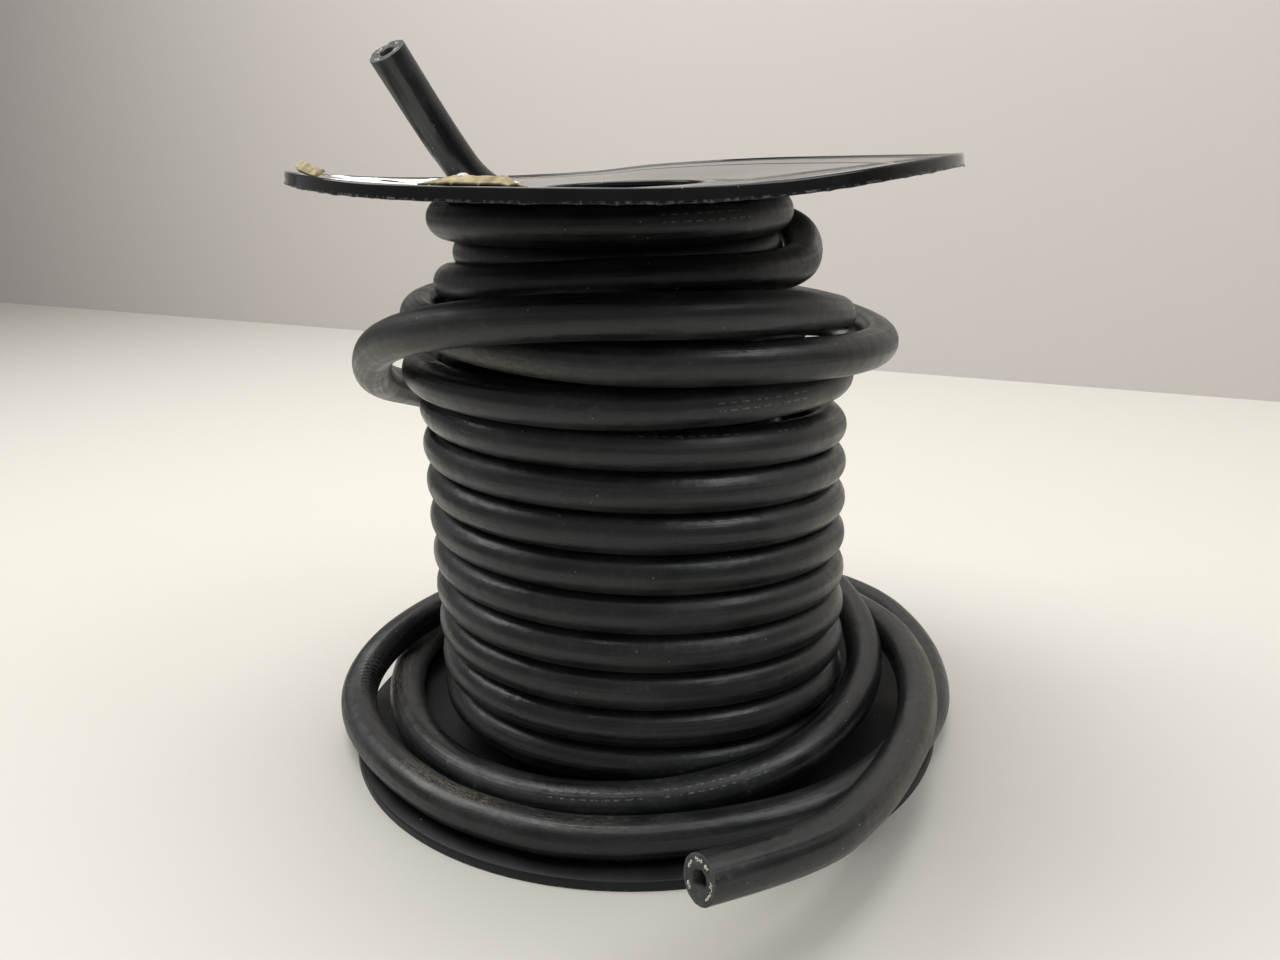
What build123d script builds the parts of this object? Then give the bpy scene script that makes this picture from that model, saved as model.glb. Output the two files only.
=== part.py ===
from build123d import *
import math
import os

# Driving dimensions, in millimetres. The frame has Z up and its origin at the centre of the
# bottom flange's lower face. The lower cut end of the hose points towards -Y.
HOSE_OD = 16.0
HOSE_BORE = 6.4
LINER_OD = 10.4
YARN_OD = 12.0
FLANGE_OD = 264.0
FLANGE_T = 4.0
SPINDLE_BORE = 65.0
CORE_OD = 96.0
CORE_WALL = 3.0
HUB_Z = 235.0
RIM_RISE = 3.5
HUB_WALL = 3.0
HUB_DEEP = 10.0
FIT_GAP = 0.1

# The hose windings.
WRAP_GAP = 0.2
INNER_TURN_R = 56.2
INNER_TOP_Z = 181.0
OUTER_TURN_R = 83.0
OUTER_TOP_Z = 151.5
STEP_ANGLES = (330.0, 370.0)
# The outer shape of the turns under the top flange, as radius and height, from below up.
UPPER_SHAPE = [(76.0, INNER_TOP_Z), (76.0, 200.0), (83.0, 200.0), (90.0, 207.0), (90.0, HUB_Z)]
TAIL_HOLE_R = 9.5
CUT_END = 11.0
RUN_SHARE = 0.45
POINT_STEP = 28.0

# The scraps left on the top flange: inner radius, outer radius, first and last angle, thickness.
LABEL = (62.0, 112.0, 150.0, 225.0, 0.3)
KRAFT_FRONT = (117.0, 131.0, 104.0, 119.0, 3.0)
KRAFT_LEFT = (124.0, 130.0, 141.0, 154.0, 4.5)
BEAD_R = 3.0
BEAD_AT = (112.0, 122.0)

# The free hose, chosen point by point: clockwise angle seen from above in degrees (0 is +X and
# 90 is -Y), radius and height. Each list is one stretch of the same hose, in order.
CROSSING_TURNS = [
    (0, 85, 160), (30, 86, 163), (60, 86.5, 165), (90, 86.5, 166), (120, 87.5, 168),
    (150, 88, 169), (180, 89, 169), (210, 90, 170), (240, 93, 173), (270, 97.5, 175.5),
    (300, 102.5, 176.5), (330, 104, 175.5), (360, 104, 173), (385, 99.5, 174.5), (415, 95, 179.5),
    (450, 94.5, 183.5), (480, 89, 187), (510, 87, 191), (540, 87.5, 192), (570, 87, 191.5),
    (600, 86, 189.5), (630, 86.5, 187.5), (660, 86.5, 184), (690, 86.5, 181.5), (720, 84.5, 183),
    (745, 85.5, 188), (772, 90.5, 196), (800, 97.5, 200),
]
BACK_SWEEP = [
    (826, 101, 201.5), (850, 103, 197), (872, 104, 187), (890, 105.5, 173), (907, 110, 159),
    (925, 112.5, 147), (945, 112.5, 133), (968, 112, 113.5), (996, 108.5, 87.5), (1024, 104, 62),
    (1052, 100.5, 45), (1076, 100, 35.5),
]
BASE_LOOPS = [
    (20, 99.5, 27.5), (47, 99.5, 22.5), (68, 99, 18.5), (91, 100, 16), (120, 100.5, 13),
    (150, 103, 12), (180, 110.5, 12), (207, 125.5, 12), (235, 140, 12), (263, 136, 12.5),
    (291, 130.5, 16), (313, 131.5, 21), (332, 134, 21), (348, 132.5, 16.5), (363, 129.5, 13),
    (379, 126, 12), (406, 121, 12), (429, 117.5, 12), (461, 118.5, 12), (486, 117, 12),
    (503, 117.5, 12), (518, 121, 12), (531, 127, 13), (541, 129.5, 18), (550, 124, 26),
    (561, 117.5, 29.5), (573, 114.5, 30),
]
LOWER_RUN = [
    (231, 115, 30.5), (260, 112.5, 30), (292, 110, 29.5), (322, 109.5, 29.5),
]
# The stretches that leave the winding, as X, Y and Z.
LOWER_END = [
    (114, 23, 29.5), (118.5, -3, 30), (118, -37.5, 30), (107.5, -77, 30), (91, -108.5, 30.5),
    (74, -135.5, 33), (51.5, -162, 36.5), (14.2, -185, 45),
]
TAIL = [
    (-11, 79, 221), (-31, 73.5, 223), (-49.5, 60.5, 228.5), (-66.5, 43.5, 239), (-76, 32.5, 256),
    (-85, 22, 274.5), (-94, 12.5, 293.5),
]


def polar(angle, radius, height):
    """Gives the point at a clockwise angle seen from above."""
    turn = math.radians(angle)
    return Vector(radius * math.cos(turn), -radius * math.sin(turn), height)


def around(angle, radius, height):
    """Gives a route point that stands outside the curve by what the rounding cuts off."""
    return polar(angle, radius / math.cos(math.radians(POINT_STEP / 2)), height)


def ring(inner_r, outer_r, low_z, high_z):
    """Makes a plain upright ring."""
    outer = Pos(0, 0, low_z) * Cylinder(
        outer_r, high_z - low_z, align=(Align.CENTER, Align.CENTER, Align.MIN)
    )
    inner = Pos(0, 0, low_z) * Cylinder(
        inner_r, high_z - low_z, align=(Align.CENTER, Align.CENTER, Align.MIN)
    )
    return outer - inner


def turned(outline, first=0.0, sweep_angle=360.0):
    """Turns an outline of radius and height about the Z axis, from a clockwise angle on."""
    section = make_face(Plane.XZ * Polyline(*outline, close=True))
    return Rot(0, 0, -first - sweep_angle) * revolve(section, Axis.Z, sweep_angle)


def corner_radii(points):
    """Gives each corner's arc as large as its two runs allow."""
    radii = []
    for before, corner, after in zip(points, points[1:], points[2:]):
        run_in = corner - before
        run_out = after - corner
        half_turn = math.radians(run_in.get_angle(run_out)) / 2
        radii.append(RUN_SHARE * min(run_in.length, run_out.length) / math.tan(half_turn))
    return radii


def tube(points, radii, outer_r=HOSE_OD / 2):
    """Sweeps a circle along straight runs joined by tangent arcs."""
    path = FilletPolyline(*points, radius=radii)
    section = Plane(origin=path @ 0, z_dir=path % 0) * Circle(outer_r)
    solid = sweep(section, path=path)
    expected = math.pi * outer_r ** 2 * path.length
    print("tube length %.1f, volume over section times length %.4f"
          % (path.length, solid.volume / expected))
    return solid


def cut_end_rings(name, start, end):
    """Makes the hose's three layers where the cut end shows them."""
    along = end - start
    plane = Plane(origin=start, z_dir=along)
    layers = {"liner": (HOSE_BORE, LINER_OD), "yarn": (LINER_OD, YARN_OD), "cover": (YARN_OD, HOSE_OD)}
    made = {}
    for layer, (bore, outer) in layers.items():
        face = plane * (Circle(outer / 2) - Circle(bore / 2))
        made[name + "_" + layer] = extrude(face, along.length)
    return made


def surface_z(radius):
    """Gives the height of the top flange's upper face, which rises outside the core."""
    slope = RIM_RISE / (FLANGE_OD / 2 - CORE_OD / 2)
    return HUB_Z + FLANGE_T + slope * max(radius - CORE_OD / 2, 0)


def scrap(inner_r, outer_r, first, last, thick, sunk=0.0):
    """Makes a thin scrap lying on the top flange's upper face, or sunk into it."""
    outline = [
        (inner_r, surface_z(inner_r) - sunk),
        (outer_r, surface_z(outer_r) - sunk),
        (outer_r, surface_z(outer_r) + thick),
        (inner_r, surface_z(inner_r) + thick),
    ]
    return turned(outline, first, last - first)


parts = {}
core_r = CORE_OD / 2
core_inner_r = core_r - CORE_WALL
bore_r = SPINDLE_BORE / 2
rim_r = FLANGE_OD / 2
hub_r = core_inner_r - FIT_GAP

# The reel: two flanges whose hubs plug into a fibre core tube.
parts["core_tube"] = ring(core_inner_r, core_r, FLANGE_T, HUB_Z)
parts["bottom_flange"] = ring(bore_r, rim_r, 0, FLANGE_T)
parts["bottom_hub"] = ring(hub_r - HUB_WALL, hub_r, FLANGE_T, FLANGE_T + HUB_DEEP)
parts["top_hub"] = ring(hub_r - HUB_WALL, hub_r, HUB_Z - HUB_DEEP, HUB_Z)
dished = [
    (bore_r, HUB_Z),
    (core_r, HUB_Z),
    (rim_r, HUB_Z + RIM_RISE),
    (rim_r, surface_z(rim_r)),
    (core_r, surface_z(core_r)),
    (bore_r, surface_z(bore_r)),
]
tail_points = [Vector(*point) for point in TAIL]
tail_radii = corner_radii(tail_points)
tail_hole = tube(tail_points, tail_radii, TAIL_HOLE_R)
parts["top_flange"] = turned(dished) - tail_hole

# What is left of the label and the carton on the top flange.
parts["label_residue"] = scrap(*LABEL) - tail_hole
parts["kraft_scrap_front"] = scrap(*KRAFT_FRONT)
parts["kraft_scrap_left"] = scrap(*KRAFT_LEFT)
bead_angle, bead_radius = BEAD_AT
bead_z = surface_z(bead_radius) + KRAFT_FRONT[-1]
bead = Pos(polar(bead_angle, bead_radius, bead_z)) * Sphere(BEAD_R)
parts["glue_bead"] = bead - scrap(*KRAFT_FRONT, sunk=BEAD_R)

# The hose's wound stretches, each as the closed outer shape of its turns.
wrap_inner_r = core_r + WRAP_GAP
parts["hose_inner_wrap"] = ring(
    wrap_inner_r, INNER_TURN_R + HOSE_OD / 2, FLANGE_T, INNER_TOP_Z
)
outer_wrap = ring(
    OUTER_TURN_R - HOSE_OD / 2, OUTER_TURN_R + HOSE_OD / 2, FLANGE_T, OUTER_TOP_Z
)
parts["hose_upper_turns"] = turned(
    [(wrap_inner_r, INNER_TOP_Z), *UPPER_SHAPE, (wrap_inner_r, HUB_Z)]
)

# The free stretches, cut across the middle of a run where one node ends and the next begins.
stretches = {
    "hose_crossing_turns": [around(*point) for point in CROSSING_TURNS],
    "hose_back_sweep": [around(*point) for point in BACK_SWEEP],
    "hose_base_loops": [around(*point) for point in BASE_LOOPS],
    "hose_lower_run": [around(*point) for point in LOWER_RUN] + [Vector(*p) for p in LOWER_END],
}
stretches["hose_crossing_turns"][0] = polar(*CROSSING_TURNS[0])
route = [point for points in stretches.values() for point in points]
route_radii = corner_radii(route)
lower_dir = (route[-1] - route[-2]).normalized()
lower_start = route[-1] - lower_dir * CUT_END
place = 0
for node, points in stretches.items():
    last = place + len(points)
    start = route[0] if place == 0 else (route[place - 1] + route[place]) / 2
    end = lower_start if last == len(route) else (route[last - 1] + route[last]) / 2
    corners = route[max(place, 1):min(last, len(route) - 1)]
    radii = route_radii[max(place, 1) - 1:min(last, len(route) - 1) - 1]
    print(node, "arc radii", " ".join("%.0f" % radius for radius in radii))
    parts[node] = tube([start, *corners, end], radii)
    place = last

# The outer wrap ends in a step, and the first free turn starts from the step's face.
step_r, step_z = CROSSING_TURNS[0][1:]
step = turned([
    (step_r - HOSE_OD / 2, OUTER_TOP_Z), (OUTER_TURN_R + HOSE_OD / 2, OUTER_TOP_Z),
    (step_r + HOSE_OD / 2, step_z + HOSE_OD / 2), (step_r - HOSE_OD / 2, step_z + HOSE_OD / 2),
], STEP_ANGLES[0], STEP_ANGLES[1] - STEP_ANGLES[0])
first_face = Plane(origin=route[0], z_dir=route[1] - route[0])
step = split(step, bisect_by=first_face, keep=Keep.BOTTOM)
parts["hose_outer_wrap"] = outer_wrap + step

# The upper tail, trimmed level with the top of the winding that it rises from.
tail_dir = (tail_points[-1] - tail_points[-2]).normalized()
tail_start = tail_points[-1] - tail_dir * CUT_END
print("hose_tail arc radii", " ".join("%.0f" % radius for radius in tail_radii))
tail = tube([*tail_points[:-1], tail_start], tail_radii)
below = Box(
    FLANGE_OD, FLANGE_OD, HUB_Z, align=(Align.CENTER, Align.CENTER, Align.MIN)
)
parts["hose_tail"] = tail - below

parts.update(cut_end_rings("tail_end", tail_start, tail_points[-1]))
parts.update(cut_end_rings("lower_end", lower_start, route[-1]))

os.makedirs("parts", exist_ok=True)
for name, shape in parts.items():
    export_step(shape, "parts/" + name + ".step")
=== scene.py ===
import math
import random

import bpy
import numpy as np
from mathutils import Matrix, Vector, noise


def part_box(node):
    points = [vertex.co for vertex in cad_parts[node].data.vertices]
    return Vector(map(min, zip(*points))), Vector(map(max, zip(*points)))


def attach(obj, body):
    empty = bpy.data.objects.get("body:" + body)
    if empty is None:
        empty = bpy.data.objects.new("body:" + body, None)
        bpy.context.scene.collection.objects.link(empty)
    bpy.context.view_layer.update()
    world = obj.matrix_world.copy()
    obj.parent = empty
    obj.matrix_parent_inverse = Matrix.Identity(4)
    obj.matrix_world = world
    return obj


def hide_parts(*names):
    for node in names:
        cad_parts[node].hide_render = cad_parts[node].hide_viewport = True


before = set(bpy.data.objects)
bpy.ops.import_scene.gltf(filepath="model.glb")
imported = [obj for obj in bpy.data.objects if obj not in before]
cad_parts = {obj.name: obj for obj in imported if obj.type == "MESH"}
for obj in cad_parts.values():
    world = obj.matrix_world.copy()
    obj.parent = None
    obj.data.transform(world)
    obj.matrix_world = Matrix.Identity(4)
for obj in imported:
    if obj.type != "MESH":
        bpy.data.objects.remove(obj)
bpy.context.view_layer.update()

# Sizes in metres, in the frame's own axes. The reel's come from the frame.
HOSE_R = 0.008
BORE_R = 0.0032
BRAID_PITCH = 0.0026
BRAID_STARTS = 5
DASH_PITCH = 0.0043
FLANGE_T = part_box("bottom_flange")[1].z
RIM_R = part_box("bottom_flange")[1].x
CORE_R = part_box("core_tube")[1].x
HUB_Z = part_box("top_flange")[0].z
HOLE_R = 0.0325
TAIL_HOLE_R = 0.0095
STRIP_PITCH = 0.09
GROOVE_R = 0.1055
GROOVE_DEPTH = 0.0004
LIP_RISE = 0.0006

# The hose's route, point by point: clockwise angle seen from above in degrees (0 is +X and 90 is
# -Y), radius and height. TAIL and LOWER_END are X, Y and Z, and TAIL begins at the upper cut end.
TAIL = [
    (-.094, .0125, .2935), (-.085, .022, .2745), (-.076, .0325, .256), (-.0665, .0435, .239),
]
UPPER_TURNS = [
    (230, .077, .229), (246, .077, .223), (262, .0755, .2215), (282, .0715, .222),
    (305, .0675, .225), (332, .062, .227), (360, .06, .227), (390, .0605, .227),
    (420, .063, .227), (450, .066, .2275), (480, .07, .2285), (510, .073, .229),
    (540, .0735, .229), (560, .0695, .229), (577, .063, .2285), (600, .057, .226),
    (630, .056, .219), (660, .056, .2145), (690, .056, .2125), (720, .056, .212),
    (750, .056, .2125), (780, .056, .213), (810, .0565, .214), (840, .0605, .214),
    (870, .063, .2145), (900, .064, .215), (920, .064, .211), (942, .0645, .2065),
    (965, .0715, .2035), (990, .0805, .2055), (1018, .0825, .2135), (1045, .078, .219),
    (1064, .074, .2165), (1082, .071, .2105), (1105, .07, .2065), (1140, .0715, .208),
    (1170, .073, .2095), (1200, .075, .208), (1230, .074, .205), (1260, .072, .203),
    (1282, .07, .1955), (1303, .0685, .19), (1325, .0655, .188), (1350, .065, .189),
    (1380, .068, .187), (1410, .069, .184), (1440, .069, .1825), (1470, .068, .184),
    (1500, .066, .187), (1530, .0645, .188), (1560, .066, .184), (1590, .071, .175),
    (1620, .073, .1685), (1650, .069, .1705), (1680, .06, .1745),
]
BOTTOM_CROSSING = [
    (300, .0575, .0125), (330, .0615, .0125), (360, .0655, .012), (390, .066, .012),
    (420, .0675, .012), (450, .07, .012), (480, .071, .012), (510, .0715, .012),
    (540, .0725, .012), (570, .073, .012), (600, .074, .012), (630, .075, .012),
    (660, .0755, .012), (690, .0765, .012), (720, .078, .012), (750, .0805, .0135),
    (780, .082, .0175),
]
CROSSING_TURNS = [
    (0, .085, .16), (30, .086, .163), (60, .0865, .165), (90, .0865, .166), (120, .0875, .168),
    (150, .088, .169), (180, .089, .169), (210, .09, .17), (240, .093, .173), (270, .0975, .1755),
    (300, .1025, .1765), (330, .104, .1755), (360, .104, .173), (385, .0995, .1745),
    (415, .095, .1795), (450, .0945, .1835), (480, .089, .187), (510, .087, .191),
    (540, .0875, .192), (570, .087, .1915), (600, .086, .1895), (630, .0865, .1875),
    (660, .0865, .184), (690, .0865, .1815), (720, .0845, .183), (745, .0855, .188),
    (772, .0905, .196), (800, .0975, .2),
]
BACK_SWEEP = [
    (826, .101, .2015), (850, .103, .197), (872, .104, .187), (890, .1055, .173),
    (907, .11, .159), (925, .1125, .147), (945, .1125, .133), (968, .112, .1135),
    (996, .1085, .0875), (1024, .104, .062), (1052, .1005, .045), (1076, .1, .0355),
]
BASE_LOOPS = [
    (20, .0995, .0275), (47, .0995, .0225), (68, .099, .0185), (91, .1, .016), (120, .1005, .013),
    (150, .103, .012), (180, .1105, .012), (207, .1255, .012), (235, .14, .012),
    (263, .136, .0125), (291, .1305, .016), (313, .1315, .021), (332, .134, .021),
    (348, .1325, .0165), (363, .1295, .013), (379, .126, .012), (406, .121, .012),
    (429, .1175, .012), (461, .1185, .012), (486, .117, .012), (503, .1175, .012),
    (518, .121, .012), (531, .127, .013), (541, .1295, .018), (550, .124, .026),
    (561, .1175, .0295), (573, .1145, .03),
]
LOWER_RUN = [
    (231, .115, .0305), (260, .1125, .03), (292, .11, .0295), (322, .1095, .0295),
]
LOWER_END = [
    (.114, .023, .0295), (.1185, -.003, .03), (.118, -.0375, .03), (.1075, -.077, .03),
    (.091, -.1085, .0305), (.074, -.1355, .033), (.0515, -.162, .0365), (.0142, -.185, .045),
]
# The two even layers, down the core and back up. Each outer turn climbs over STEP_SPAN degrees and
# then runs level, and LEAD_ON carries the last one on to the crossing turns.
INNER_TURN_R = 0.0562
INNER_TOP = 0.17325
INNER_PITCH = 0.01607
INNER_ANGLES = range(1710, 5311, 30)
OUTER_TURN_R = 0.083
OUTER_LOW = 0.009
OUTER_PITCH = 0.01603
OUTER_ANGLES = range(90, 3121, 30)
STEP_SPAN = 150
LEAD_ON = [(270, .083, .1535), (300, .0835, .1545), (330, .0845, .156)]
POINT_STEP = 28

# The top flange is warped. The middle of its edge stands this high, by clockwise angle.
RIM_HEIGHTS = [
    (27, .245), (46, .2438), (68, .2408), (82, .2401), (96, .2411), (124, .2435),
    (153, .2469), (165, .2472), (191, .2443), (215, .2405), (240, .2383), (262, .2385),
    (277, .2409), (300, .2424), (325, .2427), (351, .2433),
]


def polar(angle, radius, height=0.0):
    """Gives the point at a clockwise angle seen from above."""
    turn = math.radians(angle)
    return Vector((radius * math.cos(turn), -radius * math.sin(turn), height))


def around(angle, radius, height):
    """Gives a route point that stands outside the curve by what the spline cuts off."""
    return polar(angle, radius / math.cos(math.radians(POINT_STEP / 2)), height)


def spread_normals(points):
    """Gives the unit vectors of an array of vectors."""
    return points / np.linalg.norm(points, axis=1, keepdims=True)


# ---------------------------------------------------------------- mesh helpers


def mesh_object(name, vertices, faces, materials, body="root"):
    """Makes a smooth mesh piece that rides on the frame."""
    mesh = bpy.data.meshes.new(name)
    mesh.from_pydata([tuple(vertex) for vertex in vertices], [], faces)
    mesh.polygons.foreach_set("use_smooth", [True] * len(mesh.polygons))
    for material in materials:
        mesh.materials.append(material)
    made = bpy.data.objects.new(name, mesh)
    bpy.context.scene.collection.objects.link(made)
    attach(made, body)
    return made


def ring_faces(rings, steps, closed=False):
    """Gives the quads between rings of the same number of vertices."""
    faces = []
    last = rings if closed else rings - 1
    for ring in range(last):
        low = ring * steps
        high = (ring + 1) % rings * steps
        for step in range(steps):
            after = (step + 1) % steps
            faces.append((low + step, low + after, high + after, high + step))
    return faces


def lathe(name, outline, steps, materials, place):
    """Turns a closed outline of radius and height about the Z axis and puts each point with place."""
    vertices = [
        place(360 * step / steps, radius, height)
        for radius, height in outline
        for step in range(steps)
    ]
    return mesh_object(name, vertices, ring_faces(len(outline), steps, True), materials)


def paint(piece, name, values):
    """Stores one number per vertex for a material to read."""
    attribute = piece.data.attributes.new(name, "FLOAT", "POINT")
    attribute.data.foreach_set("value", np.asarray(values, np.float32))


# ------------------------------------------------------------ material helpers


def new_material(name, color, roughness, **sockets):
    """Makes a material with one Principled shader and gives its node tree and that shader."""
    material = bpy.data.materials.new(name)
    material.use_nodes = True
    tree = material.node_tree
    shader = tree.nodes["Principled BSDF"]
    shader.inputs["Base Color"].default_value = (*color, 1)
    shader.inputs["Roughness"].default_value = roughness
    for socket, value in sockets.items():
        shader.inputs[socket.replace("_", " ")].default_value = value
    return material, tree, shader


def add(tree, kind, inputs=None, **settings):
    """Adds a node. An input is a plain value or another node's output."""
    node = tree.nodes.new("ShaderNode" + kind)
    for setting, value in settings.items():
        setattr(node, setting, value)
    for socket, value in (inputs or {}).items():
        if isinstance(value, bpy.types.NodeSocket):
            tree.links.new(value, node.inputs[socket])
        else:
            node.inputs[socket].default_value = value
    return node


def calc(tree, operation, first, second=0.0):
    """Adds a Math node and gives its output."""
    return add(tree, "Math", {0: first, 1: second}, operation=operation).outputs[0]


def fade(tree, value, low, high, out_low=0.0, out_high=1.0):
    """Maps a value smoothly from low and high to the two outputs."""
    inputs = {"Value": value, 1: low, 2: high, 3: out_low, 4: out_high}
    return add(tree, "MapRange", inputs, interpolation_type="SMOOTHSTEP").outputs[0]


def mix(tree, factor, first, second):
    """Mixes two colours."""
    first = (*first, 1) if isinstance(first, tuple) else first
    second = (*second, 1) if isinstance(second, tuple) else second
    inputs = {0: factor, 6: first, 7: second}
    return add(tree, "Mix", inputs, data_type="RGBA").outputs[2]


def grain(tree, place, scale, detail=4.0, distortion=0.0):
    """Adds a Noise texture and gives its value."""
    inputs = {"Vector": place, "Scale": scale, "Detail": detail, "Distortion": distortion}
    return add(tree, "TexNoise", inputs).outputs[0]


def read(tree, name):
    """Reads a number painted on the mesh."""
    return add(tree, "Attribute", attribute_name=name).outputs["Fac"]


def bump(tree, height, strength, distance, under=None):
    """Adds a Bump node, over another one's normal if one is given."""
    inputs = {"Height": height, "Strength": strength, "Distance": distance}
    if under is not None:
        inputs["Normal"] = under
    return add(tree, "Bump", inputs).outputs[0]


def own_place(tree):
    """Gives the place on the object in metres."""
    return add(tree, "TexCoord").outputs["Object"]


def specks(tree, place, scale, rare, size):
    """Gives a mask of separate round specks, fewer the nearer rare is to 1."""
    cells = add(tree, "TexVoronoi", {"Vector": place, "Scale": scale})
    chance = add(tree, "SeparateXYZ", {0: cells.outputs["Color"]}).outputs[0]
    lone = calc(tree, "GREATER_THAN", chance, rare)
    return calc(tree, "MULTIPLY", lone, calc(tree, "LESS_THAN", cells.outputs["Distance"], size))


# -------------------------------------------------------------- the materials


def rubber():
    """The hose's cover: satin black, with braid lines in its bends, dust, scuffs and ink dashes."""
    material, tree, shader = new_material(
        "hose_rubber", (0.02, 0.023, 0.022), 0.45, Specular_IOR_Level=0.5
    )
    place = own_place(tree)
    uv = add(tree, "UVMap", uv_map="hose").outputs[0]
    split = add(tree, "SeparateXYZ", {0: uv})
    turn = split.outputs[0]
    along = split.outputs[1]

    # Tone: slow clouds, and streaks that run along the hose.
    cloud = grain(tree, place, 38, 5, 0.4)
    drawn_out = {0: calc(tree, "MULTIPLY", turn, 26), 1: calc(tree, "MULTIPLY", along, 9)}
    streak = grain(tree, add(tree, "CombineXYZ", drawn_out).outputs[0], 1.0, 3)
    dark, light = (0.0050, 0.0062, 0.0066), (0.0130, 0.0148, 0.0148)
    tone = mix(tree, fade(tree, cloud, 0.35, 0.7), dark, light)
    tone = mix(tree, fade(tree, streak, 0.48, 0.75, 0, 0.55), tone, (0.036, 0.038, 0.036))

    # Dust: a fine haze, separate specks, and the tan scuffs that the mesh is painted with.
    fine_dust = fade(tree, grain(tree, place, 520, 6), 0.5, 0.78)
    haze = calc(tree, "MULTIPLY", fine_dust, fade(tree, cloud, 0.4, 0.66))
    tone = mix(tree, calc(tree, "MULTIPLY", haze, 0.35), tone, (0.090, 0.088, 0.078))
    speck = specks(tree, place, 420.0, 0.965, 0.13)
    tone = mix(tree, calc(tree, "MULTIPLY", speck, 0.55), tone, (0.34, 0.33, 0.30))
    short_marks = {0: calc(tree, "MULTIPLY", turn, 70), 1: calc(tree, "MULTIPLY", along, 260)}
    marks = grain(tree, add(tree, "CombineXYZ", short_marks).outputs[0], 1.0, 3)
    rubbed = calc(tree, "ADD", marks, grain(tree, place, 1300, 4))
    scuff = calc(tree, "MULTIPLY", read(tree, "scuff"), fade(tree, rubbed, 0.95, 1.16))
    tone = mix(tree, calc(tree, "MULTIPLY", scuff, 0.85), tone, (0.165, 0.138, 0.098))

    # Ink: two broken lines of dashes where the printed stretches are.
    level = calc(tree, "ABSOLUTE", read(tree, "ink_side"))
    above, below = calc(tree, "GREATER_THAN", level, 0.13), calc(tree, "LESS_THAN", level, 0.21)
    line = calc(tree, "MULTIPLY", above, below)
    line = calc(tree, "MULTIPLY", line, calc(tree, "GREATER_THAN", read(tree, "inked"), 0.9))
    dashes = calc(tree, "FRACT", calc(tree, "DIVIDE", along, DASH_PITCH))
    dash = calc(tree, "LESS_THAN", dashes, 0.62)
    worn = fade(tree, grain(tree, place, 700, 3), 0.38, 0.6)
    ink = calc(tree, "MULTIPLY", calc(tree, "MULTIPLY", line, dash), worn)
    tone = mix(tree, calc(tree, "MULTIPLY", ink, 0.30), tone, (0.32, 0.33, 0.33))
    tree.links.new(tone, shader.inputs["Base Color"])

    rough = fade(tree, cloud, 0.3, 0.75, 0.30, 0.46)
    rough = calc(tree, "ADD", rough, fade(tree, streak, 0.3, 0.7, -0.06, 0.08))
    rough = calc(tree, "ADD", rough, calc(tree, "MULTIPLY", haze, 0.2))
    rough = calc(tree, "ADD", rough, calc(tree, "MULTIPLY", scuff, 0.25))
    tree.links.new(rough, shader.inputs["Roughness"])

    # Relief: fine skin, and chevron wrinkles over the braid on the inside of bends.
    skin = grain(tree, place, 1500, 3)
    ripple = grain(tree, place, 170, 2)
    wander = calc(tree, "MULTIPLY", ripple, 3.0)
    chevrons = []
    for lean in (1, -1):
        phase = calc(tree, "ADD", calc(tree, "MULTIPLY", along, 2 * math.pi / BRAID_PITCH), wander)
        phase = calc(tree, "ADD", phase, calc(tree, "MULTIPLY", turn, lean * 2 * math.pi * BRAID_STARTS))
        chevrons.append(calc(tree, "SINE", phase))
    braid = calc(tree, "MAXIMUM", *chevrons)
    wrinkle = calc(tree, "MULTIPLY", braid, read(tree, "crush"))
    relief = bump(tree, skin, 0.35, 0.00012)
    relief = bump(tree, ripple, 0.55, 0.0006, relief)
    relief = bump(tree, streak, 0.5, 0.0004, relief)
    relief = bump(tree, wrinkle, 0.6, 0.0005, relief)
    tree.links.new(relief, shader.inputs["Normal"])
    return material


def plastic(name, color, low_rough, high_rough):
    """Moulded black plastic with fine scratches, specks and pale chips where it is painted worn."""
    material, tree, shader = new_material(name, color, low_rough, Specular_IOR_Level=0.3)
    place = own_place(tree)
    cloud = grain(tree, place, 45, 4, 0.3)
    scratch_place = add(tree, "Mapping", {0: place, "Scale": (60.0, 1400.0, 400.0)}).outputs[0]
    scratch = fade(tree, grain(tree, scratch_place, 1.0, 2), 0.62, 0.7)
    speck = specks(tree, place, 300.0, 0.95, 0.12)
    chips = fade(tree, grain(tree, place, 520, 5, 0.5), 0.46, 0.64)
    worn = calc(tree, "MULTIPLY", read(tree, "worn"), chips)
    tone = mix(tree, fade(tree, cloud, 0.35, 0.7), color, tuple(1.6 * part for part in color))
    tone = mix(tree, calc(tree, "MULTIPLY", speck, 0.5), tone, (0.32, 0.32, 0.30))
    tone = mix(tree, calc(tree, "MULTIPLY", worn, 0.6), tone, (0.15, 0.15, 0.145))
    tree.links.new(tone, shader.inputs["Base Color"])
    rough = fade(tree, cloud, 0.3, 0.75, low_rough, high_rough)
    rough = calc(tree, "ADD", rough, calc(tree, "MULTIPLY", scratch, 0.12))
    rough = calc(tree, "ADD", rough, calc(tree, "MULTIPLY", worn, 0.4))
    tree.links.new(rough, shader.inputs["Roughness"])
    relief = bump(tree, scratch, 0.1, 0.00003)
    relief = bump(tree, worn, 0.4, 0.00012, relief)
    tree.links.new(relief, shader.inputs["Normal"])
    return material


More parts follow.
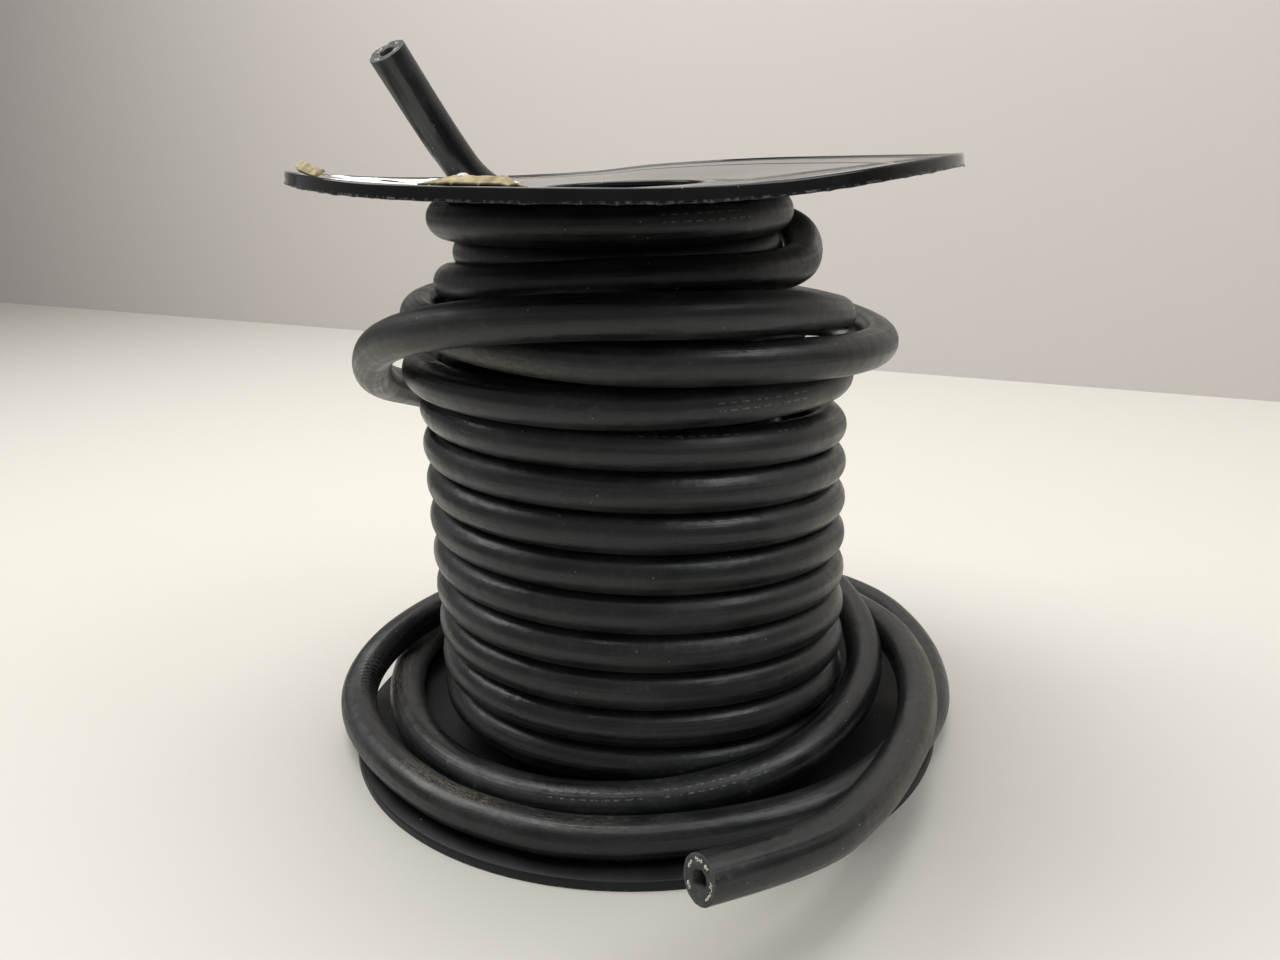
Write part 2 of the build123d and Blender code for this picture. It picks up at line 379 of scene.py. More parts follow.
def cut_rubber():
    """The hose's sawn face: matte dark grey with torn grain, and its bore painted near black deeper in as
    painted shade.
    """
    material, tree, shader = new_material("hose_cut_face", (0.045, 0.045, 0.047), 0.7)
    place = own_place(tree)
    cloud = grain(tree, place, 350, 5)
    fine = grain(tree, place, 2600, 4)
    tone = mix(tree, fade(tree, cloud, 0.35, 0.7), (0.030, 0.030, 0.032), (0.062, 0.063, 0.064))
    frayed = calc(tree, "MULTIPLY", read(tree, "rim"), fade(tree, fine, 0.4, 0.6))
    tone = mix(tree, frayed, tone, (0.16, 0.135, 0.10))
    # Painted shade: the bore's wall turns near black the deeper it goes.
    tone = mix(tree, read(tree, "painted_bore_shade"), tone, (0.004, 0.004, 0.004))
    tree.links.new(tone, shader.inputs["Base Color"])
    relief = bump(tree, cloud, 0.5, 0.0003)
    relief = bump(tree, fine, 0.5, 0.0001, relief)
    tree.links.new(relief, shader.inputs["Normal"])
    return material


def yarn():
    """Reinforcing yarn: off-white fibre, a little dirty."""
    material, tree, shader = new_material("hose_yarn", (0.72, 0.70, 0.64), 0.8, Sheen_Weight=0.4)
    place = own_place(tree)
    fine = grain(tree, place, 3000, 3)
    tone = mix(tree, fade(tree, fine, 0.3, 0.7), (0.42, 0.40, 0.35), (0.80, 0.79, 0.74))
    tree.links.new(tone, shader.inputs["Base Color"])
    tree.links.new(bump(tree, fine, 0.5, 0.0001), shader.inputs["Normal"])
    return material


def torn_paper():
    """The label's torn backing: white fibre with grey and tan stains."""
    material, tree, shader = new_material("label_paper", (0.78, 0.77, 0.73), 0.85)
    place = own_place(tree)
    stain = grain(tree, place, 90, 6, 0.8)
    fibre = grain(tree, place, 1400, 4, 1.0)
    tone = mix(tree, fade(tree, stain, 0.45, 0.7), (0.84, 0.84, 0.81), (0.52, 0.50, 0.44))
    tone = mix(tree, fade(tree, fibre, 0.55, 0.75, 0, 0.5), tone, (0.62, 0.58, 0.48))
    tree.links.new(tone, shader.inputs["Base Color"])
    relief = bump(tree, stain, 0.6, 0.0004)
    relief = bump(tree, fibre, 0.6, 0.00015, relief)
    tree.links.new(relief, shader.inputs["Normal"])
    return material


def kraft():
    """Torn brown carton with fibres and darker stains."""
    material, tree, shader = new_material("kraft_card", (0.42, 0.34, 0.19), 0.8)
    place = own_place(tree)
    stain = grain(tree, place, 160, 6, 1.0)
    fibre_place = add(tree, "Mapping", {0: place, "Scale": (500.0, 1800.0, 1800.0)}).outputs[0]
    fibre = grain(tree, fibre_place, 1.0, 4, 0.6)
    tone = mix(tree, fade(tree, stain, 0.35, 0.62), (0.36, 0.30, 0.165), (0.20, 0.155, 0.075))
    tone = mix(tree, fade(tree, fibre, 0.5, 0.75, 0, 0.5), tone, (0.52, 0.47, 0.33))
    tree.links.new(tone, shader.inputs["Base Color"])
    relief = bump(tree, stain, 0.7, 0.0006)
    relief = bump(tree, fibre, 0.6, 0.0002, relief)
    tree.links.new(relief, shader.inputs["Normal"])
    return material


def core_paper():
    """The core's wound paper board, with the slanted seam of its strips."""
    material, tree, shader = new_material("core_fibre", (0.36, 0.27, 0.18), 0.85)
    place = own_place(tree)
    split = add(tree, "SeparateXYZ", {0: place})
    angle = calc(tree, "ARCTAN2", split.outputs[1], split.outputs[0])
    climb = calc(tree, "DIVIDE", split.outputs[2], STRIP_PITCH)
    wound = calc(tree, "ADD", climb, calc(tree, "DIVIDE", angle, 2 * math.pi))
    seam = fade(tree, calc(tree, "FRACT", wound), 0.0, 0.02, 1, 0)
    fibre = grain(tree, place, 900, 5, 0.5)
    tone = mix(tree, fade(tree, fibre, 0.35, 0.7), (0.30, 0.22, 0.14), (0.42, 0.33, 0.22))
    tone = mix(tree, seam, tone, (0.14, 0.10, 0.06))
    tree.links.new(tone, shader.inputs["Base Color"])
    tree.links.new(bump(tree, fibre, 0.4, 0.0002), shader.inputs["Normal"])
    return material


def cloudy_glue():
    """A drop of cloudy hot glue."""
    material, tree, shader = new_material(
        "hot_glue", (0.60, 0.58, 0.50), 0.35, Subsurface_Weight=0.5, Subsurface_Scale=0.002
    )
    place = own_place(tree)
    cloud = grain(tree, place, 500, 3)
    tone = mix(tree, fade(tree, cloud, 0.4, 0.65), (0.62, 0.60, 0.53), (0.42, 0.39, 0.30))
    tree.links.new(tone, shader.inputs["Base Color"])
    return material


# -------------------------------------------------------------------- the hose


def hose_points():
    """Gives the control points of the whole hose, from its upper cut end to its lower one."""
    inner_turns = [
        (angle, INNER_TURN_R, INNER_TOP - INNER_PITCH * (angle - INNER_ANGLES[0]) / 360)
        for angle in INNER_ANGLES
    ]
    outer_turns = []
    for angle in OUTER_ANGLES:
        turn, within = divmod(angle, 360)
        step = math.sin(math.radians(90 * min(within / STEP_SPAN, 1)))
        outer_turns.append((angle, OUTER_TURN_R, OUTER_LOW + OUTER_PITCH * (turn + step)))
    wound = (
        UPPER_TURNS + inner_turns + BOTTOM_CROSSING + outer_turns + LEAD_ON
        + CROSSING_TURNS + BACK_SWEEP + BASE_LOOPS + LOWER_RUN
    )
    return (
        [Vector(point) for point in TAIL]
        + [around(*point) for point in wound]
        + [Vector(point) for point in LOWER_END]
    )


def spline_line(points):
    """Gives the smooth line of the NURBS spline that has these control points."""
    curve = bpy.data.curves.new("hose_route", "CURVE")
    curve.dimensions = "3D"
    curve.resolution_u = 10
    spline = curve.splines.new("NURBS")
    spline.points.add(len(points) - 1)
    for control, point in zip(spline.points, points):
        control.co = (*point, 1)
    spline.order_u = 3
    spline.use_endpoint_u = True
    holder = bpy.data.objects.new("hose_route", curve)
    mesh = bpy.data.meshes.new_from_object(holder)
    line = np.array([vertex.co for vertex in mesh.vertices])
    bpy.data.objects.remove(holder)
    bpy.data.curves.remove(curve)
    bpy.data.meshes.remove(mesh)
    return line


class Course:
    """The hose's centreline with, at each point, its direction, outward and sideways."""

    def __init__(self, line):
        self.line = line
        self.steps = np.linalg.norm(np.diff(line, axis=0), axis=1)
        self.along = np.concatenate([[0], np.cumsum(self.steps)])
        self.ahead = spread_normals(np.gradient(line, self.along, axis=0))
        outward = line * (1, 1, 0)
        outward -= (outward * self.ahead).sum(1, keepdims=True) * self.ahead
        self.outward = spread_normals(outward)
        self.side = np.cross(self.ahead, self.outward)
        self.bend = np.gradient(self.ahead, self.along, axis=0)

    def rim(self, index, radius, steps):
        """Gives the points of a circle round one point of the line."""
        turns = 2 * np.pi * np.arange(steps) / steps
        return self.line[index] + radius * (
            np.outer(np.cos(turns), self.outward[index]) + np.outer(np.sin(turns), self.side[index])
        )

    def nearest(self, place):
        """Gives the index of the line's point nearest to a place."""
        return int(np.argmin(np.linalg.norm(self.line - np.array(place), axis=1)))


RING = 28
CRUSH_FROM = 0.075
CRUSH_SPAN = 0.09
SCUFF_WIDTH = 42
PRINT_MARGIN = 0.012

# The printed stretches: a place near their middle, their length, and how far up the hose's side.
PRINTED = [
    (polar(64, 0.072, 0.227), 0.036, 18),
    (polar(60, OUTER_TURN_R, 0.160), 0.042, 4),
    (polar(78, OUTER_TURN_R, 0.148), 0.044, 62),
    (polar(38, OUTER_TURN_R, 0.144), 0.048, 58),
    (polar(101, 0.100, 0.016), 0.038, 48),
    (polar(74, 0.100, 0.018), 0.044, 50),
    (polar(338, 0.134, 0.018), 0.030, 60),
]
# The scuffed stretches: a place near their middle, their length, how far up the side, how strong.
SCUFFED = [
    (polar(131, 0.1185, 0.012), 0.056, 100, 1.0),
    (polar(104, 0.1180, 0.012), 0.040, 100, 0.3),
    (polar(150, 0.089, 0.194), 0.150, -35, 0.6),
    (polar(200, 0.118, 0.012), 0.120, 60, 0.5),
    (polar(30, 0.120, 0.030), 0.160, 30, 0.35),
]


def hose_skin(course, material):
    """Makes the hose's outer surface in one piece and paints its bends, scuffs and printed stretches."""
    count = len(course.line)
    vertices = np.concatenate([course.rim(index, HOSE_R, RING) for index in range(count)])
    skin = mesh_object("hose", vertices, ring_faces(count, RING), [material])

    turns = np.arange(RING) / RING
    layer = skin.data.uv_layers.new(name="hose")
    corner_turns = np.array([0, 1, 1, 0])
    corner_steps = np.array([0, 0, 1, 1])
    ring_index, turn_index = np.divmod(np.arange((count - 1) * RING), RING)
    u = (turn_index[:, None] + corner_turns) / RING
    v = course.along[ring_index[:, None] + corner_steps]
    layer.data.foreach_set("uv", np.stack([u, v], 2).astype(np.float32).ravel())

    # How much the surface is pressed together, on the inside of each bend.
    angles = 2 * np.pi * turns
    inward = (
        (course.bend * course.outward).sum(1)[:, None] * np.cos(angles)
        + (course.bend * course.side).sum(1)[:, None] * np.sin(angles)
    )
    crush = np.clip((inward * HOSE_R - CRUSH_FROM) / CRUSH_SPAN, 0, 1)
    paint(skin, "crush", crush.ravel())

    scuff = np.zeros((count, RING))
    for place, length, side, strength in SCUFFED:
        middle = course.along[course.nearest(place)]
        lengthwise = np.exp(-(((course.along - middle) / (length / 2)) ** 4))
        apart = (np.degrees(angles) - side + 180) % 360 - 180
        sideways = np.exp(-((apart / SCUFF_WIDTH) ** 2))
        scuff = np.maximum(scuff, strength * lengthwise[:, None] * sideways)
    paint(skin, "scuff", scuff.ravel())

    ink_side = np.ones((count, RING))
    inked = np.zeros((count, RING))
    for place, length, side in PRINTED:
        middle = course.along[course.nearest(place)]
        near = np.abs(course.along - middle)
        apart = (np.degrees(angles) - side + 180) % 360 - 180
        ink_side[near < length / 2 + PRINT_MARGIN] = np.clip(np.radians(apart), -1, 1)
        inked[near < length / 2] = 1
    paint(skin, "ink_side", ink_side.ravel())
    paint(skin, "inked", inked.ravel())
    return skin


# A cut face from the rim in: radius, height above the plane of the cut, and how ragged it is.
CUT_FACE = [
    (HOSE_R, 0.0, 0), (HOSE_R - 0.0001, 0.00012, 1), (HOSE_R - 0.0003, 0.0002, 1),
    (0.0073, 0.0002, 0.3), (0.0066, 0.00012, 0), (0.0062, 0.0, 0), (0.0059, -0.00012, 0),
    (0.0056, 0.0, 0), (0.0050, 0.00014, 0), (0.0043, 0.00012, 0), (0.0036, 0.00004, 0),
    (BORE_R + 0.0001, -0.0001, 0),
]
# The bore behind it: points of the line in from the cut, and radius. The last one closes it with a cap,
# painted near black as painted shade.
CUT_BORE = [(1, BORE_R), (2, BORE_R), (3, BORE_R), (5, BORE_R), (7, BORE_R), (7, 0.0002)]


def cut_end(name, course, index, inward, materials):
    """Makes one cut end: the sawn face, its ragged rim, and the bore's wall as far in as light goes,
    painted darker with depth as painted shade.
    """
    steps = 64
    outward_dir = -inward * course.ahead[index]
    vertices = []
    rim = []
    painted_bore_shade = []
    for radius, height, ragged in CUT_FACE:
        for step, point in enumerate(course.rim(index, radius, steps)):
            place = Vector(point)
            rough = noise.noise(place * 700) * 0.00016 + noise.noise(place * 2400) * 0.00006
            lip = max(noise.noise(place * 260 + Vector((3, 1, 7))), 0) * 0.0009 * ragged
            open_rim = 0 if radius == HOSE_R else 1
            vertices.append(place + Vector(outward_dir) * (height + open_rim * rough + lip))
            rim.append(ragged * min(1, lip * 2600 + 0.25))
            painted_bore_shade.append(0)
    # Painted shade: the bore's rings are marked darker the deeper they lie, up to near black at the
    # closing cap.
    for depth, radius in CUT_BORE:
        for point in course.rim(index + inward * depth, radius, steps):
            vertices.append(Vector(point))
            rim.append(0)
            painted_bore_shade.append(min(1, depth / 3))
    for step in range(steps):
        spin = 2 * math.pi * step / steps
        uneven = 1 + 0.07 * math.sin(spin * 2 + 0.7) + 0.04 * math.sin(spin * 5)
        for row in range(len(CUT_FACE) - 1, len(CUT_FACE) + 4):
            at = row * steps + step
            middle = Vector(course.line[index + inward * max(0, row - len(CUT_FACE) + 1)])
            vertices[at] = middle + (vertices[at] - middle) * uneven
    rows = len(CUT_FACE) + len(CUT_BORE)
    faces = ring_faces(rows, steps)
    if inward < 0:
        faces = [tuple(reversed(corners)) for corners in faces]
    faces = [tuple(reversed(corners)) for corners in faces]
    made = mesh_object(name, vertices, faces, materials)
    paint(made, "rim", rim)
    paint(made, "painted_bore_shade", painted_bore_shade)
    return made


def yarn_ends(name, course, index, inward, arcs, material):
    """Makes the tufts of yarn that show in a cut face, as short strands standing side by side."""
    shuffle = random.Random(name)
    outward_dir = Vector(-inward * course.ahead[index])
    out = Vector(course.outward[index])
    side = Vector(course.side[index])
    middle = Vector(course.line[index])
    vertices = []
    faces = []
    corners = 6
    for first, last, radius in arcs:
        strands = max(3, round(math.radians(last - first) * radius / 0.00026))
        for strand in range(strands):
            turn = math.radians(first + (last - first) * (strand + shuffle.random()) / strands)
            away = radius + shuffle.uniform(-0.0004, 0.0004)
            base = middle + (out * math.cos(turn) + side * math.sin(turn)) * away
            across = (side * math.cos(turn) - out * math.sin(turn)) * shuffle.uniform(-0.0006, 0.0006)
            outwards = (base - middle).normalized() * shuffle.uniform(-0.0003, 0.0003)
            reach = shuffle.uniform(0.0002, 0.0006)
            low = len(vertices)
            levels = ((-0.0004, 0.0), (0.4 * reach, 0.25), (0.8 * reach, 0.7), (reach, 1.1))
            for level, (height, lean) in enumerate(levels):
                centre = base + outward_dir * height + (across + outwards) * lean
                thick = 0.00028 * (1 - 0.25 * level / 3)
                for corner in range(corners):
                    spin = 2 * math.pi * corner / corners
                    vertices.append(centre + (out * math.cos(spin) + side * math.sin(spin)) * thick)
            faces += [tuple(low + at for at in quad) for quad in ring_faces(4, corners)]
            faces.append(tuple(low + 3 * corners + corner for corner in range(corners)))
    return mesh_object(name, vertices, faces, [material])


# ----------------------------------------------------------------- the flanges


def rim_height(angle):
    """Gives how high the warped top flange's edge stands at a clockwise angle."""
    count = len(RIM_HEIGHTS)
    angles = [RIM_HEIGHTS[index % count][0] + 360 * (index // count) for index in range(-2, count + 2)]
    heights = [RIM_HEIGHTS[index % count][1] for index in range(-2, count + 2)]
    angle = angle % 360
    after = next(index for index, known in enumerate(angles) if known > angle)
    at = after - 1
    share = (angle - angles[at]) / (angles[after] - angles[at])
    slope_in = (heights[after] - heights[at - 1]) / (angles[after] - angles[at - 1])
    slope_out = (heights[after + 1] - heights[at]) / (angles[after + 1] - angles[at])
    span = angles[after] - angles[at]
    return (
        (2 * share**3 - 3 * share**2 + 1) * heights[at]
        + (share**3 - 2 * share**2 + share) * span * slope_in
        + (3 * share**2 - 2 * share**3) * heights[after]
        + (share**3 - share**2) * span * slope_out
    )


def top_middle(angle, radius):
    """Gives the height of the middle of the warped top flange."""
    hub = HUB_Z + FLANGE_T / 2
    share = min(max((radius - CORE_R) / (RIM_R - CORE_R), 0), 1.05)
    return hub + (rim_height(angle) - hub) * share


def on_top(angle, radius, height=0.0):
    """Gives the point this high above the warped top flange's upper face."""
    return polar(angle, radius, top_middle(angle, radius) + FLANGE_T / 2 + height)


def flange_outline(burr=0.0, grooved=False):
    """Gives a flange's section, anticlockwise, as radius and height from its middle."""
    half = FLANGE_T / 2
    soft = 0.0008
    radii = np.linspace(HOLE_R + soft, RIM_R - soft, 22)
    below = [(radius, -half) for radius in radii]
    outer = [
        (RIM_R - 0.0003, -half), (RIM_R + burr, -half - burr / 2), (RIM_R + burr / 2, -half + 0.0004),
        (RIM_R, -half + 0.0009), (RIM_R, 0.0), (RIM_R, half - 0.0011),
    ]
    if grooved:
        radii = radii[radii < RIM_R - 0.002]
    outside = [(radius, half) for radius in reversed(radii) if radius > GROOVE_R + 0.0015]
    inside = [(radius, half) for radius in reversed(radii) if radius < GROOVE_R - 0.0015]
    if grooved:
        lip = half + LIP_RISE
        floor = half - GROOVE_DEPTH
        edge = [(RIM_R - 0.0002, half - 0.0002), (RIM_R - 0.0005, lip)]
        inner_edge = [(RIM_R - 0.0011, lip), (RIM_R - 0.0014, half)]
        groove = [
            (GROOVE_R + 0.0012, half), (GROOVE_R + 0.0005, floor), (GROOVE_R - 0.0005, floor),
            (GROOVE_R - 0.0012, half),
        ]
        top = inner_edge + outside + groove + inside
    else:
        edge = [(RIM_R - 0.0002, half - 0.0006), (RIM_R - 0.0005, half - 0.0002)]
        top = outside + inside
    hole = [
        (HOLE_R + 0.0002, half - 0.0003), (HOLE_R, half - 0.0009), (HOLE_R, 0.0),
        (HOLE_R, -half + 0.0009), (HOLE_R + 0.0002, -half + 0.0003),
    ]
    return below + outer + edge + top + hole


def rim_wear(piece, middle):
    """Paints a flange's lower outer edge worn."""
    worn = []
    for vertex in piece.data.vertices:
        radius = math.hypot(vertex.co.x, vertex.co.y)
        angle = -math.degrees(math.atan2(vertex.co.y, vertex.co.x))
        below = vertex.co.z < middle(angle, radius) - FLANGE_T * 0.38
        edge = radius > RIM_R - 0.0006
        worn.append(1.0 if edge and below else 0.0)
    paint(piece, "worn", worn)


def top_flange(material, course):
    """Makes the warped top flange with its ragged lower edge and the hole that the hose comes through."""
    half = FLANGE_T / 2

    def place(angle, radius, height):
        spot = polar(angle, radius)
        ragged = 0.0
        drop = 0.0
        if radius > RIM_R - 0.0001 and height < -half + 0.0006:
            ragged = 0.0005 * max(noise.noise(spot * 210), 0) + 0.0003 * noise.noise(spot * 900)
            drop = 0.0006 * max(noise.noise(spot * 260 + Vector((5, 2, 1))), 0)
        middle = top_middle(angle, min(radius, RIM_R))
        return polar(angle, radius + ragged, middle + height - drop)

    outline = flange_outline(0.0003, True)
    flange = lathe("top_flange_shell", outline, 360, [material], place)
    rim_wear(flange, top_middle)

    rings = 40
    steps = 40
    first = course.nearest(TAIL[2])
    circles = [course.rim(index, TAIL_HOLE_R, steps) for index in range(first, first + rings)]
    cutter_points = np.concatenate(circles)
    faces = ring_faces(rings, steps)
    faces.append(tuple(reversed(range(steps))))
    faces.append(tuple(range((rings - 1) * steps, rings * steps)))
    cutter_mesh = bpy.data.meshes.new("tail_hole")
    cutter_mesh.from_pydata([tuple(point) for point in cutter_points], [], faces)
    cutter = bpy.data.objects.new("tail_hole", cutter_mesh)
    bpy.context.scene.collection.objects.link(cutter)
    cut = flange.modifiers.new("tail_hole", "BOOLEAN")
    cut.operation = "DIFFERENCE"
    cut.object = cutter
    cut.solver = "EXACT"
    bpy.context.view_layer.update()
    graph = bpy.context.evaluated_depsgraph_get()
    finished = bpy.data.meshes.new_from_object(flange.evaluated_get(graph))
    flange.modifiers.clear()
    flange.data = finished
    bpy.data.objects.remove(cutter)
    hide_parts("top_flange")
    return flange


def bottom_flange(material):
    """Makes the flat bottom flange."""

    def place(angle, radius, height):
        return polar(angle, radius, FLANGE_T / 2 + height)

    flange = lathe("bottom_flange_shell", flange_outline(), 256, [material], place)
    rim_wear(flange, lambda angle, radius: FLANGE_T / 2)
    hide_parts("bottom_flange")
    return flange


# ------------------------------------------------------------------ the scraps


def patch(name, rows, columns, place, keep, thick, material):
    """Makes a torn sheet: a grid of points put by place, without the cells that keep turns down."""
    vertices = [
        place(row / rows, column / columns)
        for row in range(rows + 1)
        for column in range(columns + 1)
    ]
    faces = []
    for row in range(rows):
        for column in range(columns):
            if keep((row + 0.5) / rows, (column + 0.5) / columns):
                low = row * (columns + 1) + column
                faces.append((low, low + 1, low + columns + 2, low + columns + 1))
    used = sorted({corner for quad in faces for corner in quad})
    number = {corner: at for at, corner in enumerate(used)}
    faces = [tuple(number[corner] for corner in quad) for quad in faces]
    made = mesh_object(name, [vertices[corner] for corner in used], faces, [material])
    solid = made.modifiers.new("thickness", "SOLIDIFY")
    solid.thickness = thick
    solid.offset = 1
    graph = bpy.context.evaluated_depsgraph_get()
    loose = bpy.data.meshes.new_from_object(made.evaluated_get(graph))
    made.modifiers.clear()
    made.data = loose
    return made


def label(material):
    """Makes the torn backing that the label left on the top flange."""
    first, last = 120, 225
    inner, outer = 0.060, 0.1315
    tail_foot = Vector((-0.0660, 0.0440, 0))
    tail_room = 0.0125

    def place(along, across):
        angle = first + (last - first) * along
        radius = inner + (outer - inner) * across
        spot = polar(angle, radius)
        curl = 0.0007 * max(noise.noise(spot * 85), 0) ** 1.5
        lift = 0.0002 + curl + 0.00008 * noise.noise(spot * 600)
        return on_top(angle, min(radius, RIM_R - 0.0008), lift)

    def keep(along, across):
        angle = first + (last - first) * along
        radius = inner + (outer - inner) * across
        spot = polar(angle, radius)
        torn = 0.007 * noise.noise(spot * 60) + 0.003 * noise.noise(spot * 260)
        far = 0.1305 if angle < 143 else 0.116
        ends = min(angle - first, last - angle) * 0.0012
        hole = (spot - tail_foot).length - tail_room
        whole = noise.noise(spot * 42 + Vector((4, 0, 2))) < 0.32
        margins = (far + torn * 0.4 - radius, radius - 0.066 + torn, ends + torn, hole + torn * 0.3)
        return whole and min(margins) > 0

    sheet = patch("label_paper_left", 200, 60, place, keep, 0.00022, material)
    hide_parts("label_residue")


def kraft_front(material):
    """Makes the torn carton wedge on the front of the rim, creased up along its length."""
    first, last = 104.9, 119.2
    inner, outer = 0.1165, 0.1312

    def rise(along):
        right = min(1, max(0, along / 0.10))
        left = min(1, max(0, (1 - along) / 0.34)) ** 0.7
        return 0.0028 * right * left * (1 + 0.10 * noise.noise(Vector((along * 9, 1, 4))))

    def place(along, across):
        wander = 0.5 * noise.noise(Vector((across * 4, along * 3, 2)))
        angle = first + (last - first) * along + wander
        radius = inner + (outer - inner) * across
        fold = math.exp(-(((across - 0.60) / 0.30) ** 2))
        spot = polar(angle, radius)
        lift = 0.0010 + rise(along) * fold + 0.00022 * noise.noise(spot * 500)
        return on_top(angle, min(radius, RIM_R - 0.0006), lift)

    def keep(along, across):
        torn = 0.10 * noise.noise(Vector((along * 14, across * 5, 3)))
        return min(along * 14, (1 - along) * 8, across * 3, (1 - across) * 5) + torn > 0.12

    wedge = patch("kraft_wedge", 60, 26, place, keep, 0.0007, material)
    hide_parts("kraft_scrap_front")


def kraft_left(material):
    """Makes the torn carton flap at the rim's left, folded up and leaning over to the left."""
    first, last = 143.5, 157.0
    foot = 0.1292

    def place(along, across):
        leaning = max(0, along - 0.3) / 0.7
        low = 0.0001 + 0.0014 * leaning
        high = 0.0024 + 0.0018 * leaning
        angle = first + (last - first) * along - 1.0 * across * leaning
        height = low + (high - low) * across + 0.0002 * noise.noise(Vector((along * 5, across * 4, 1)))
        radius = foot - 0.0035 * across - 0.0012 * math.sin(math.pi * along)
        return on_top(angle, radius, height)

    def keep(along, across):
        torn = 0.12 * noise.noise(Vector((along * 6, across * 3, 9)))
        tip = (1 - along) * 2.2 - 0.9 * abs(across - 0.75)
        edges = (along * 4, tip + 0.35, across * 3 + 0.15, (1 - across) * 3 + 0.12)
        return min(edges) + torn > 0.1

    flap = patch("kraft_flap", 30, 14, place, keep, 0.0011, material)
    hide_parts("kraft_scrap_left")


def glue_drop(material):
    """Makes the drop of glue on the front wedge."""
    middle = on_top(113.2, 0.1252, 0.0027)
    rings = 14
    steps = 28
    vertices = []
    for ring in range(rings):
        share = ring / (rings - 1)
        radius = 0.0023 * math.cos(share * math.pi / 2) ** 0.8
        height = 0.0019 * math.sin(share * math.pi / 2)
        for step in range(steps):
            turn = 2 * math.pi * step / steps
            spot = Vector((math.cos(turn) * radius, math.sin(turn) * radius, height))
            vertices.append(middle + spot * (1 + 0.10 * noise.noise(spot * 380 + Vector((1, 2, 3)))))
    drop = mesh_object("glue_drop", vertices, ring_faces(rings, steps), [material])
    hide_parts("glue_bead")


# ------------------------------------------------------------ the whole object

course = Course(spline_line(hose_points()))

rubber_material = rubber()
cut_material = cut_rubber()
yarn_material = yarn()
glossy = plastic("flange_gloss", (0.005, 0.005, 0.0055), 0.04, 0.10)
satin = plastic("flange_satin", (0.0075, 0.0078, 0.0085), 0.42, 0.55)

hose = hose_skin(course, rubber_material)
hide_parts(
    "hose_tail", "hose_upper_turns", "hose_inner_wrap", "hose_outer_wrap",
    "hose_crossing_turns", "hose_back_sweep", "hose_base_loops", "hose_lower_run",
)
last_index = len(course.line) - 1
# Where the yarn shows in each cut face: first and last angle round the face, and radius.
TAIL_YARN = [
    (20, 48, 0.0059), (70, 86, 0.0060), (128, 140, 0.0058), (196, 222, 0.0059), (290, 318, 0.0060),
]
LOWER_YARN = [
    (62, 82, 0.0059), (94, 124, 0.0060), (148, 176, 0.0059), (-38, -6, 0.0059), (6, 24, 0.0059),
    (216, 240, 0.0060),
]
ends = []
for end, index, inward, arcs in (("tail", 0, 1, TAIL_YARN), ("lower", last_index, -1, LOWER_YARN)):
    face = cut_end(end + "_cut_face", course, index, inward, [cut_material])
    tufts = yarn_ends(end + "_cut_yarn", course, index, inward, arcs, yarn_material)
    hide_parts(end + "_end_liner", end + "_end_cover")
    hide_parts(end + "_end_yarn")
    ends += [face, tufts]

top_flange(glossy, course)
bottom_flange(satin)
for node, material in (
    ("core_tube", core_paper()), ("top_hub", satin), ("bottom_hub", satin),
):
    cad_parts[node].data.materials.clear()
    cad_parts[node].data.materials.append(material)
label(torn_paper())
kraft_material = kraft()
kraft_front(kraft_material)
kraft_left(kraft_material)
glue_drop(cloudy_glue())


# ------------------------------------------------- the floor, light and camera


def stage_plane(name, corners, color, roughness):
    """Makes a plain surface that isn't part of the object."""
    mesh = bpy.data.meshes.new(name)
    mesh.from_pydata(corners, [], [tuple(range(len(corners)))])
    mesh.materials.append(new_material(name, color, roughness)[0])
    made = bpy.data.objects.new(name, mesh)
    bpy.context.scene.collection.objects.link(made)


def area_light(name, place, aim, width, height, power, color):
    """Makes a soft rectangular light that points at a place."""
    data = bpy.data.lights.new(name, "AREA")
    data.shape = "RECTANGLE"
    data.size = width
    data.size_y = height
    data.energy = power
    data.color = color
    made = bpy.data.objects.new(name, data)
    made.location = place
    made.rotation_euler = (Vector(aim) - Vector(place)).to_track_quat("-Z", "Y").to_euler()
    bpy.context.scene.collection.objects.link(made)


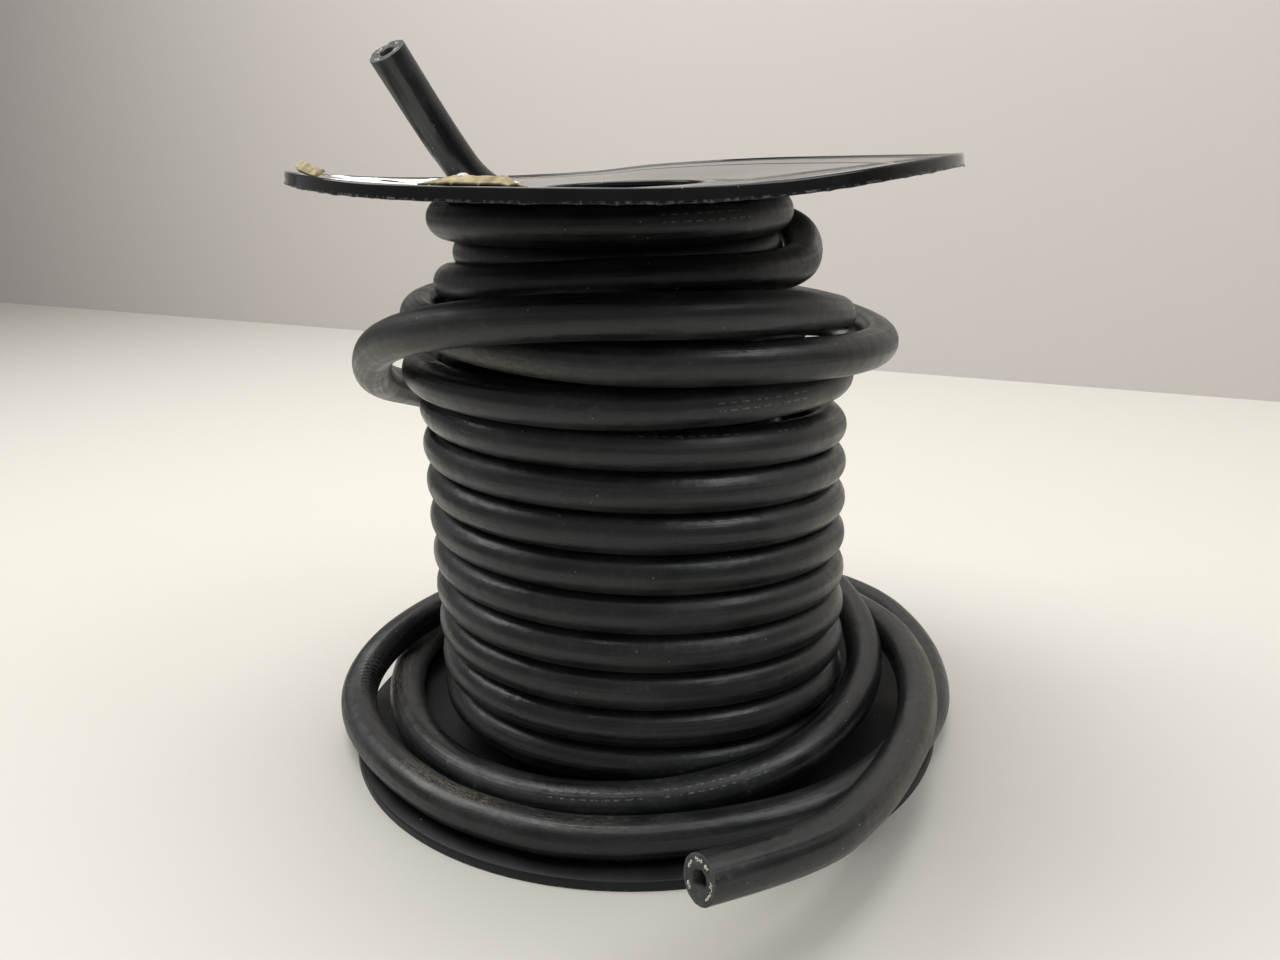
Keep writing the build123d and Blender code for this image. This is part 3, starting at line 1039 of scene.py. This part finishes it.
def photograph_camera():
    """Puts the camera where the photograph was taken from."""
    place = Vector((0, -0.4595, 0.2569))
    pitch = math.radians(17.43)
    yaw = math.radians(0.18)
    roll = math.radians(-2.126)
    level = math.cos(pitch)
    ahead = Vector((math.sin(yaw) * level, math.cos(yaw) * level, -math.sin(pitch)))
    right = ahead.cross(Vector((0, 0, 1))).normalized()
    up = right.cross(ahead)
    data = bpy.data.cameras.new("camera")
    data.lens = 30.67
    data.sensor_width = 36
    data.clip_start = 0.01
    camera = bpy.data.objects.new("camera", data)
    turned = (
        right * math.cos(roll) + up * math.sin(roll),
        up * math.cos(roll) - right * math.sin(roll),
        -ahead,
    )
    camera.matrix_world = Matrix.Translation(place) @ Matrix(turned).transposed().to_4x4()
    bpy.context.scene.collection.objects.link(camera)
    bpy.context.scene.camera = camera


FLOOR = [(-3, -3, 0), (3, -3, 0), (3, 3, 0), (-3, 3, 0)]
WALL = [(-3, 2.76, 0), (3, -0.96, 0), (3, -0.96, 2.5), (-3, 2.76, 2.5)]
stage_plane("floor", FLOOR, (0.585, 0.568, 0.520), 0.55)
stage_plane("backdrop", WALL, (0.56, 0.53, 0.505), 0.7)
area_light("top_light", (-0.1, 0.1, 1.7), (0, 0, 0.1), 1.4, 1.2, 24, (1.0, 0.985, 0.955))
area_light("left_light", (-1.0, 0.3, 1.2), (0, 0, 0.12), 0.7, 0.8, 9, (1.0, 0.99, 0.97))
area_light("right_light", (0.8, -0.3, 1.2), (0, 0, 0.12), 0.7, 0.7, 6, (0.98, 0.99, 1.0))
area_light("wall_light", (-0.25, 0.25, 1.25), (0.05, 0.88, 0.45), 0.4, 0.4, 3, (1.0, 0.99, 0.97))
world = bpy.data.worlds.new("studio")
world.use_nodes = True
world.node_tree.nodes["Background"].inputs["Color"].default_value = (0.92, 0.93, 0.95, 1)
world.node_tree.nodes["Background"].inputs["Strength"].default_value = 0.3
bpy.context.scene.world = world
bpy.context.scene.view_settings.view_transform = "Standard"
photograph_camera()
